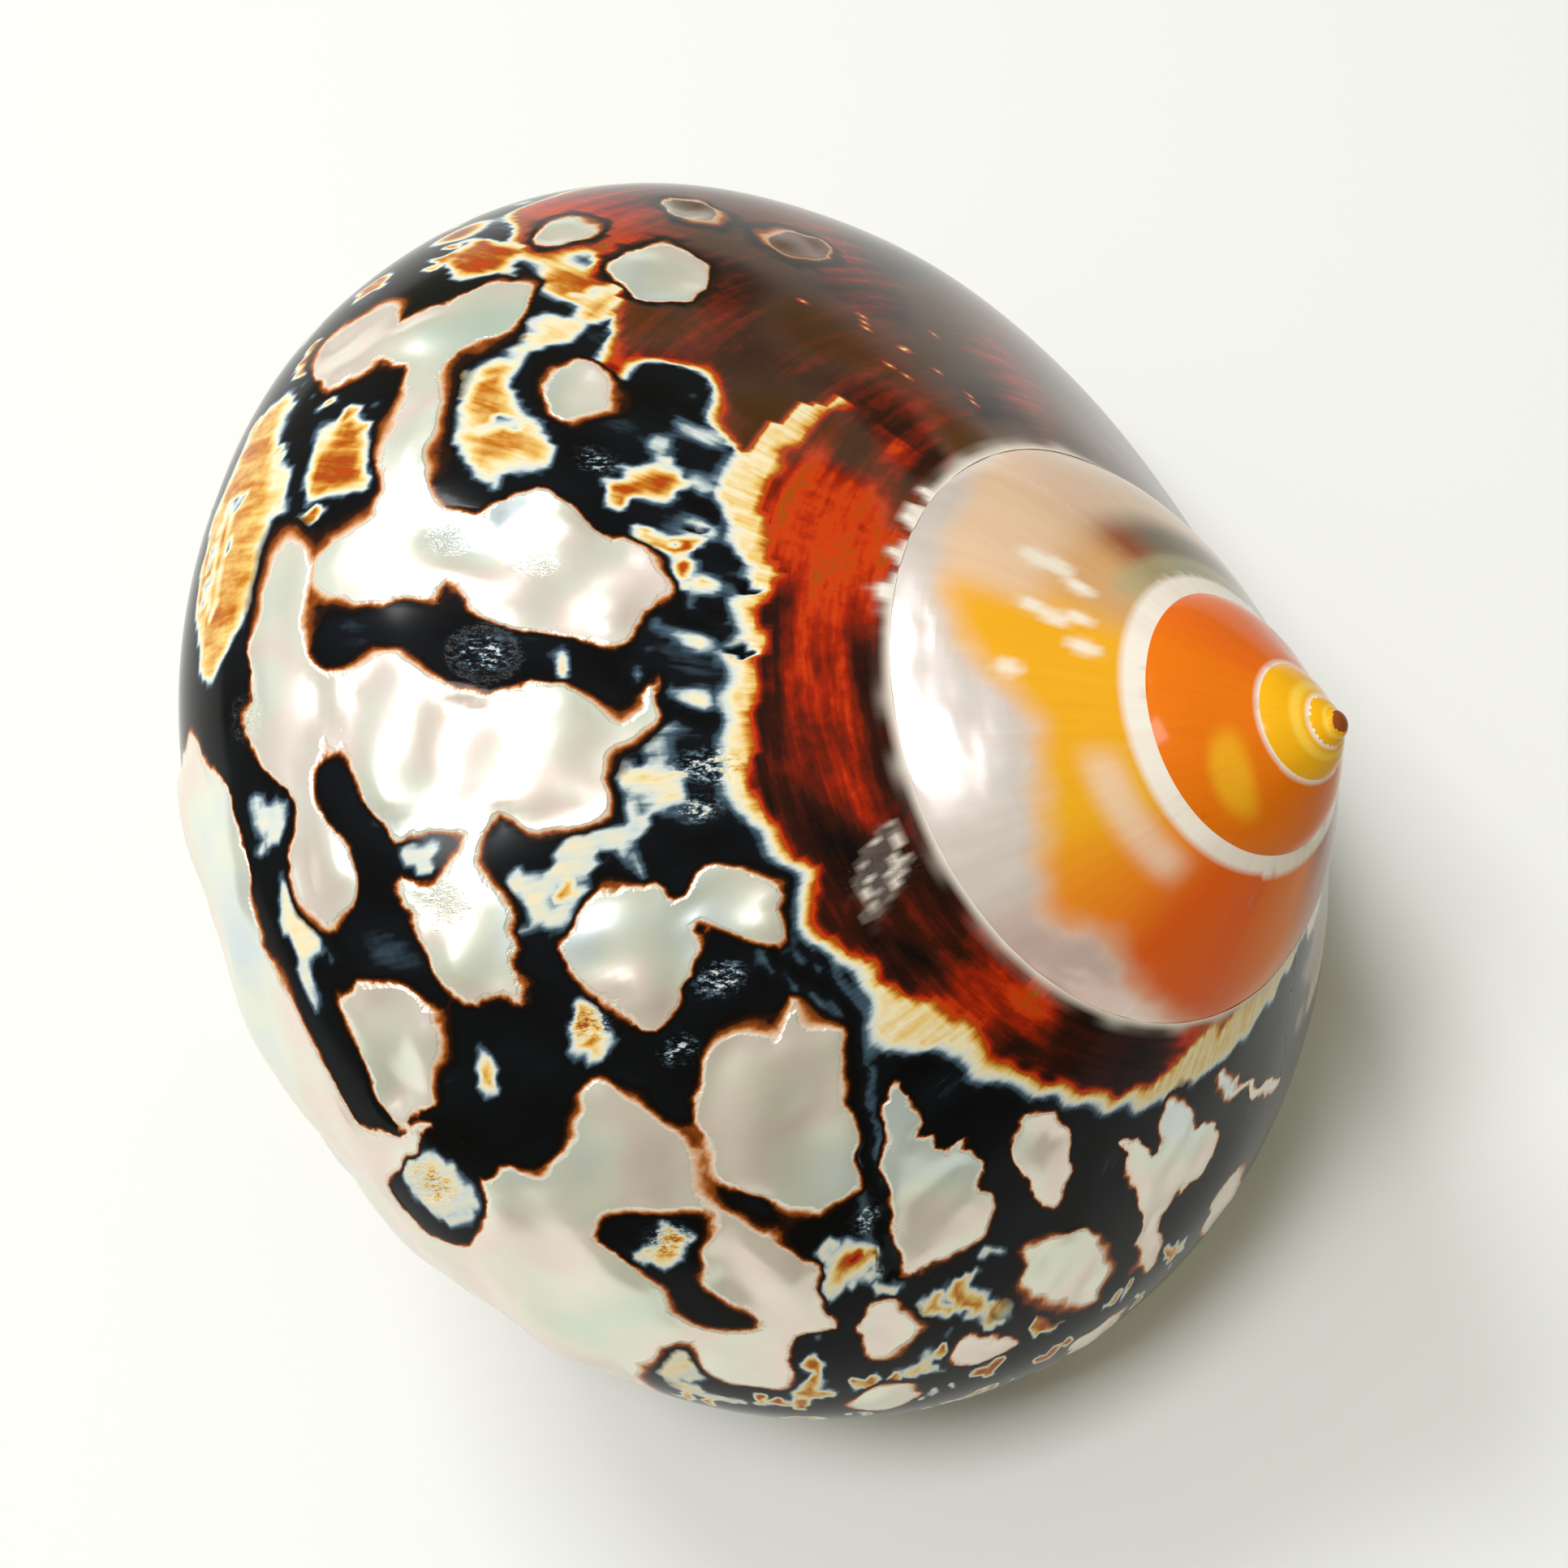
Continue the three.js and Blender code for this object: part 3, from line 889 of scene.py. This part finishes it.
# painted sheen: the last coils fade to a painted grey sheen at the back of the band, with a painted pale
# reflection band along the seam
paintedGreySheen = smooth((skinTurn + 116) / 36) * smooth((skinAngle - 50) / 20) * (skinTurn > -200)
paintedSheenBand = bump(skinTurn, -140, -118, 8) * smooth((skinAngle - 84.5) / 3) * lastWhorl
# grey of the painted sheen, showing only where the cover lets it through
spire = np.where((skinTurn > -200)[:, None], linear("ash"), spire)
spire = blend(spire, "smoke", np.where(skinTurn > -200, smooth((skinTurn + 90) / 30), 0.0))
# bark brown clouds over the far shoulder, clear of the beads
cloud = shoulder * smooth(0.55 + ripple(skinTurn * 0.5, skinAngle * 0.7, 13, 48))
cloud = cloud * smooth((-0.4 - pearl) / 0.3)
cloud = cloud * (1 - paintedGreySheen) * (layer > 1.2) * (skinTurn > -165)
spire = blend(spire, "bark", cloud)
spire = blend(spire, "slate", chip * (skinTurn > bandStart))
rough = smooth((ripple(skinTurn, skinAngle, 1.6, 47) + 0.9 * bump(chipSide, 0.9, 2.2, 0.8) - 0.35) / 0.5)
spire = blend(spire, "collar", 0.75 * chip * rough * (skinTurn > bandStart))
spire = blend(spire, "collar", thread)
cover = onSpire + 0.7 * paintedGreySheen + 0.6 * cloud + 0.5 * paintedSheenBand
cover = np.clip(cover + chip * (skinTurn > bandStart) + thread, 0, 1)
pearl = np.where(onSpire > 0.5, far, pearl)
pearlSheen = np.clip(0.55 * show + 0.2 * fringe + 0.2 * milky, 0, 1) * cover + 0.3 * paintedGreySheen

# small scratched crystals sunk in the black
crystals = [
    (-195.5, 52.5, 2.4), (-236, 57.5, 1.8), (-231, 65, 2.2), (-230.2, 51.8, 1.6), (-251.5, 42.5, 2.0),
    (-238, 25.5, 2.2), (-217, 44, 1.8), (-225, 84, 3.2), (-200, 26, 2.0), (-186, 57, 1.4),
    (-184.6, 48.5, 1.6), (-207, 72, 2.4), (-212, 70, 1.6), (-264, 57, 1.6), (-173, 60, 1.8),
]
sparkle = np.zeros(len(skinTurn))
for atTurn, atAngle, half in crystals:
    off = np.hypot((skinTurn - atTurn) / (half * 1.1), (skinAngle - atAngle) / (half * 1.5))
    sparkle = np.maximum(sparkle, smooth(1.2 - off))

# the outer skin dips and swells a little under the polish
print("shaping the skin")
inPearl = smooth((pearl + 0.1) / 1.0)
swellMm = 0.26 * ripple(skinTurn * 0.8, skinAngle * 0.66, 9, 41) * inPearl
swellMm = swellMm + 0.07 * ripple(skinTurn * 0.8, skinAngle * 0.66, 4.5, 45) * inPearl
swellMm = swellMm + 0.05 * ripple(skinTurn * 0.8, skinAngle * 0.66, 22, 42)
swellMm = swellMm - 0.16 * crackMask + 0.05 * lips
swellMm = swellMm - 0.10 * sparkle * (1 + ripple(skinTurn, skinAngle, 1.6, 43))
swellMm = swellMm + 0.1 * thread * (1 + 0.4 * ripple(skinTurn, skinAngle * 0.2, 6, 44))
pits = [(-192, 76.5, 1.0, 0.45), (-183, 77, 0.9, 0.4), (-177, 71, 0.7, 0.3)]
for atTurn, atAngle, half, deep in pits:
    off = np.hypot((skinTurn - atTurn) / half, (skinAngle - atAngle) / (half * 1.2))
    swellMm = swellMm - deep * smooth(1.4 - off)
    layer = np.where(off < 1.0, 0.05, layer)
swellMm = swellMm * skinSize / 0.6

total = np.zeros(len(shellMesh.vertices))
uses = np.zeros(len(shellMesh.vertices))
np.add.at(total, skinPoint, swellMm)
np.add.at(uses, skinPoint, 1)
points = readPoints(shellMesh)
normals = np.empty(len(shellMesh.vertices) * 3)
shellMesh.vertices.foreach_get("normal", normals)
normals = normals.reshape(-1, 3)
move = total / np.maximum(uses, 1) * smooth((points[:, 2] / mm - 1.0) / 3.0)
points = points + normals * (move * mm)[:, None]
points[:, 2] = np.maximum(points[:, 2], 0.0)
shellMesh.vertices.foreach_set("co", points.ravel())
shellMesh.update()


def giveCorners(name, kindName, values, default):
    # one value for every face corner, the default off the outer skin
    width = 1 if values.ndim == 1 else values.shape[1]
    full = np.tile(np.array(default, float).reshape(1, width), (len(turn), 1))
    full[skin] = values.reshape(-1, width)[back]
    layerData = shellMesh.attributes.new(name, kindName, "CORNER")
    key = {"FLOAT": "value", "FLOAT_VECTOR": "vector", "FLOAT_COLOR": "color"}[kindName]
    layerData.data.foreach_set(key, full.ravel())


# painted shade: pearl past turn -138 and above section angle 30, on the far shoulder, is darkened towards
# brown
dim = smooth((skinTurn + 138) / 8) * smooth((skinAngle - 30) / 6)
giveCorners("paintedPearlShade", "FLOAT", dim, 0.0)
giveCorners("pearlDepth", "FLOAT", np.clip(pearl, -3, 3), 3.0)
giveCorners("layerHeight", "FLOAT", layer, 0.0)
giveCorners("spireCover", "FLOAT", cover, 0.0)
giveCorners("spireSheen", "FLOAT", pearlSheen, 0.0)
giveCorners("sparkle", "FLOAT", sparkle, 0.0)
giveCorners("coilPlace", "FLOAT_VECTOR", np.stack([skinTurn, skinAngle, skinSize], axis=-1), (0, 0, 1))
solidSpire = np.concatenate([spire, np.ones((len(spire), 1))], axis=1)
giveCorners("spireColour", "FLOAT_COLOR", solidSpire, (1, 1, 1, 1))
# the very tip, where the first coil starts, is a small brown and white pit
atTip = (kind == 2) & (np.linalg.norm(fromFrame(points)[point], axis=1) < 4.0)
for name, key, value in (("pearlDepth", "value", -2.0), ("spireCover", "value", 1.0)):
    values = np.empty(len(turn))
    shellMesh.attributes[name].data.foreach_get(key, values)
    values[atTip] = value
    shellMesh.attributes[name].data.foreach_set(key, values)
values = np.empty(len(turn) * 4)
shellMesh.attributes["spireColour"].data.foreach_get("color", values)
values = values.reshape(-1, 4)
values[atTip, :3] = linear("umber")
shellMesh.attributes["spireColour"].data.foreach_set("color", values.ravel())
shellMesh.shade_smooth()
shellMesh.set_sharp_from_angle(angle=38 * degree)
print("skin values given to", len(skinTurn), "places")


def newMaterial(name):
    # a node material with its tree and its one shader
    material = bpy.data.materials.new(name)
    material.use_nodes = True
    tree = material.node_tree
    shader = tree.nodes["Principled BSDF"]
    return material, tree, shader


def attribute(tree, name, socket="Fac"):
    # value kept on the face corners
    node = tree.nodes.new("ShaderNodeAttribute")
    node.attribute_name = name
    return node.outputs[socket]


def sums(tree, operation, a, b=None, c=None, clamp=False):
    # one step of arithmetic, on numbers or sockets
    node = tree.nodes.new("ShaderNodeMath")
    node.operation = operation
    node.use_clamp = clamp
    for socket, value in zip(node.inputs, (a, b, c)):
        if value is None:
            continue
        if isinstance(value, (int, float)):
            socket.default_value = value
        else:
            tree.links.new(value, socket)
    return node.outputs[0]


def noise(tree, vector, scale, detail=3.0, rough=0.55):
    # cloudy noise, 0 to 1, about 0.5
    node = tree.nodes.new("ShaderNodeTexNoise")
    node.inputs["Scale"].default_value = scale
    node.inputs["Detail"].default_value = detail
    node.inputs["Roughness"].default_value = rough
    tree.links.new(vector, node.inputs["Vector"])
    return node.outputs["Fac"]


def ramp(tree, factor, stops):
    # stops: (position, (r, g, b) on screen, how solid)
    node = tree.nodes.new("ShaderNodeValToRGB")
    band = node.color_ramp
    while len(band.elements) < len(stops):
        band.elements.new(0.5)
    for element, (position, colour, solid) in zip(band.elements, stops):
        c = np.array(colour, float) / 255
        light = np.where(c > 0.04045, ((c + 0.055) / 1.055) ** 2.4, c / 12.92)
        element.position = position
        element.color = (*light, solid)
    tree.links.new(factor, node.inputs["Fac"])
    return node


def mixColour(tree, factor, a, b, how="MIX"):
    # a + (b - a) * factor, or a * b by the factor for MULTIPLY
    node = tree.nodes.new("ShaderNodeMix")
    node.data_type = "RGBA"
    node.blend_type = how
    for socket, value in ((node.inputs[0], factor), (node.inputs[6], a), (node.inputs[7], b)):
        if isinstance(value, (int, float)):
            socket.default_value = value
        elif isinstance(value, tuple):
            socket.default_value = (*value, 1)
        else:
            tree.links.new(value, socket)
    return node.outputs[2]


def stretched(tree, vector, scale):
    # each coordinate times its own scale
    node = tree.nodes.new("ShaderNodeMapping")
    node.inputs["Scale"].default_value = scale
    tree.links.new(vector, node.inputs["Vector"])
    return node.outputs["Vector"]


def polishedShell():
    # layers, spire colours, pearl and its border under one gloss
    material, tree, shader = newMaterial("polished_shell")
    where = tree.nodes.new("ShaderNodeTexCoord").outputs["Object"]
    place = attribute(tree, "coilPlace", "Vector")
    ragged = noise(tree, where, 1500, 4, 0.6)
    broad = noise(tree, where, 260, 2, 0.5)
    streaks = noise(tree, stretched(tree, place, (0.9, 0.12, 4)), 1.0, 4, 0.6)
    # layers: height pushed about by streaks and fine grain, most where it is already high
    height = attribute(tree, "layerHeight")
    along = noise(tree, stretched(tree, place, (0.05, 0.55, 4)), 1.0, 4, 0.6)
    inBand = sums(tree, "MULTIPLY_ADD", height, 4.0, -4.6, clamp=True)
    across = sums(tree, "MULTIPLY", streaks, sums(tree, "SUBTRACT", 1.0, inBand))
    grain = sums(tree, "MULTIPLY_ADD", along, inBand, across)
    push = sums(tree, "MULTIPLY_ADD", grain, 1.5, -0.75)
    push = sums(tree, "MULTIPLY_ADD", ragged, 0.5, sums(tree, "SUBTRACT", push, 0.25))
    push = sums(tree, "MULTIPLY", push, sums(tree, "MULTIPLY_ADD", height, 0.55, 0.03, clamp=True))
    scratch = noise(tree, stretched(tree, where, (1, 2.2, 1.4)), 2600, 3, 0.7)
    rough = sums(tree, "MULTIPLY_ADD", scratch, 6.0, -2.75, clamp=True)
    spark = sums(tree, "MULTIPLY", attribute(tree, "sparkle"), rough)
    height = sums(tree, "ADD", sums(tree, "ADD", height, push), sums(tree, "MULTIPLY", spark, 0.46))
    layers = ramp(
        tree,
        sums(tree, "DIVIDE", height, 2.5),
        [
            (0.0, (7, 7, 8), 1), (0.06, (14, 17, 21), 1), (0.12, (70, 92, 108), 1),
            (0.19, (204, 214, 212), 1), (0.25, (236, 222, 184), 1), (0.32, (226, 188, 106), 1),
            (0.40, (192, 118, 32), 1), (0.47, (160, 70, 14), 1), (0.53, (196, 58, 12), 1),
            (0.60, (156, 34, 8), 1), (0.68, (106, 27, 9), 1), (0.80, (52, 19, 10), 1), (1.0, (16, 8, 6), 1),
        ],
    ).outputs["Color"]
    spireStreak = noise(tree, stretched(tree, place, (0.35, 0.03, 9)), 1.0, 4, 0.6)
    toned = mixColour(tree, sums(tree, "MULTIPLY_ADD", spireStreak, 1.6, -0.5, clamp=True),
                      attribute(tree, "spireColour", "Color"), (0.75, 0.55, 0.36), "MULTIPLY")
    toned = mixColour(tree, 0.3, attribute(tree, "spireColour", "Color"), toned)
    under = mixColour(tree, attribute(tree, "spireCover"), layers, toned)
    # mother of pearl: faint rose, green and blue over silver
    hue = noise(tree, where, 110, 2, 0.5)
    fine = noise(tree, stretched(tree, where, (1, 1, 1)), 320, 3, 0.6)
    pearlColour = ramp(
        tree,
        sums(tree, "MULTIPLY_ADD", fine, 0.35, sums(tree, "MULTIPLY_ADD", hue, 1.6, -0.47)),
        [
            (0.1, (210, 226, 212), 1), (0.35, (235, 232, 216), 1), (0.5, (238, 222, 212), 1),
            (0.65, (231, 233, 217), 1), (0.85, (214, 224, 226), 1),
        ],
    ).outputs["Color"]
    # the edge of the pearl: black, brown, orange, cream, then pearl
    depth = attribute(tree, "pearlDepth")
    depth = sums(tree, "ADD", depth, sums(tree, "MULTIPLY_ADD", ragged, 0.34, -0.17))
    depth = sums(tree, "ADD", depth, sums(tree, "MULTIPLY_ADD", broad, 0.3, -0.15))
    # outside the pearl the brown border runs wide in some places and narrow in others
    spread = sums(tree, "MULTIPLY_ADD", noise(tree, where, 150, 2, 0.5), 4.2, -1.25, clamp=False)
    spread = sums(tree, "MAXIMUM", sums(tree, "MINIMUM", spread, 1.5), 0.32)
    outside = sums(tree, "MULTIPLY", sums(tree, "MINIMUM", depth, 0.0), spread)
    depth = sums(tree, "ADD", outside, sums(tree, "MAXIMUM", depth, 0.0))
    edge = ramp(
        tree,
        sums(tree, "MULTIPLY_ADD", depth, 0.7, 0.5),
        [
            (0.0, (8, 7, 7), 0), (0.18, (9, 7, 6), 0), (0.30, (12, 8, 6), 1), (0.37, (40, 18, 8), 1),
            (0.43, (140, 68, 18), 1), (0.475, (214, 150, 96), 1), (0.52, (238, 216, 190), 1),
        ],
    )
    under = mixColour(tree, edge.outputs["Alpha"], under, edge.outputs["Color"])
    pearlMask = sums(tree, "MULTIPLY_ADD", depth, 5.0, 0.35, clamp=True)
    # painted shade: the far shoulder's pearl darkened towards brown
    pearlColour = mixColour(tree, attribute(tree, "paintedPearlShade"), pearlColour, (0.16, 0.085, 0.06))
    base = mixColour(tree, pearlMask, under, pearlColour)
    tree.links.new(base, shader.inputs["Base Color"])
    sheen = sums(tree, "MAXIMUM", pearlMask, attribute(tree, "spireSheen"))
    tree.links.new(sums(tree, "MULTIPLY", sheen, 0.55), shader.inputs["Metallic"])
    tree.links.new(sums(tree, "MULTIPLY_ADD", sheen, 0.13, 0.13), shader.inputs["Roughness"])
    shader.inputs["Specular IOR Level"].default_value = 0.1
    # polish that follows the wavy pearl sheets
    wave = noise(tree, stretched(tree, place, (0.09, 0.13, 1)), 1.0, 1, 0.4)
    relief = tree.nodes.new("ShaderNodeBump")
    relief.inputs["Strength"].default_value = 0.6
    relief.inputs["Distance"].default_value = 0.00025
    scratched = sums(tree, "MULTIPLY", spark, 0.3)
    mixed = sums(tree, "MULTIPLY_ADD", sums(tree, "MULTIPLY", wave, sheen), 1.0, scratched)
    tree.links.new(mixed, relief.inputs["Height"])
    tree.links.new(relief.outputs["Normal"], shader.inputs["Normal"])
    return material


shellMesh.materials.clear()
shellMesh.materials.append(polishedShell())
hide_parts("shell")
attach(shell, "root")
print("shell finished")

floorMesh = bpy.data.meshes.new("floor")
floorMesh.from_pydata([(-3, -3, 0), (3, -3, 0), (3, 3, 0), (-3, 3, 0)], [], [(0, 1, 2, 3)])
floor = bpy.data.objects.new("floor", floorMesh)
bpy.context.collection.objects.link(floor)
paper, _, paperShader = newMaterial("pale_floor")
paperShader.inputs["Base Color"].default_value = (0.80, 0.80, 0.775, 1)
paperShader.inputs["Roughness"].default_value = 0.7
paperShader.inputs["Specular IOR Level"].default_value = 0.2
floorMesh.materials.append(paper)

studio = {
    "high pane": {"toward": (-0.40, 0.42, 0.81), "size": (0.27, 0.13), "watts": 2.5},
    "low pane": {"toward": (-0.38, -0.15, 0.91), "size": (0.23, 0.28), "watts": 3.8},
}
distance = 0.8
for name, pane in studio.items():
    data = bpy.data.lights.new(name, "AREA")
    data.shape = "RECTANGLE"
    data.size = pane["size"][0]
    data.size_y = pane["size"][1]
    data.energy = pane["watts"]
    data.color = (0.97, 0.98, 1.0)
    lamp = bpy.data.objects.new(name, data)
    bpy.context.collection.objects.link(lamp)
    spot = Vector(pane["toward"]).normalized() * distance
    lamp.location = spot
    lamp.rotation_euler = (-spot).to_track_quat("-Z", "Y").to_euler()

# the room: bright and cool towards the window side, warm and dim away from it
sky = bpy.data.worlds.new("soft room")
sky.use_nodes = True
skyTree = sky.node_tree
wayIn = skyTree.nodes.new("ShaderNodeTexCoord").outputs["Generated"]
towards = skyTree.nodes.new("ShaderNodeVectorMath")
towards.operation = "DOT_PRODUCT"
towards.inputs[1].default_value = (-0.55, 0.2, 0.81)
skyTree.links.new(wayIn, towards.inputs[0])
side = sums(skyTree, "MULTIPLY_ADD", towards.outputs["Value"], 0.5, 0.5, clamp=True)
roomColour = ramp(
    skyTree,
    side,
    [
        (0.0, (166, 164, 146), 1), (0.45, (160, 156, 128), 1),
        (0.75, (192, 188, 158), 1), (1.0, (240, 243, 246), 1),
    ],
).outputs["Color"]
skyTree.links.new(roomColour, skyTree.nodes["Background"].inputs["Color"])
skyTree.nodes["Background"].inputs["Strength"].default_value = 0.62
bpy.context.scene.world = sky

lens = bpy.data.cameras.new("camera")
lens.lens = 46.32
lens.sensor_width = 36
lens.clip_start = 0.001
camera = bpy.data.objects.new("camera", lens)
camera.location = (-0.00009, -0.05874, 0.10873)
camera.rotation_euler = (30 * degree, 0, 0)
bpy.context.collection.objects.link(camera)
bpy.context.scene.camera = camera
bpy.context.scene.view_settings.view_transform = "Standard"


print("scene ready")
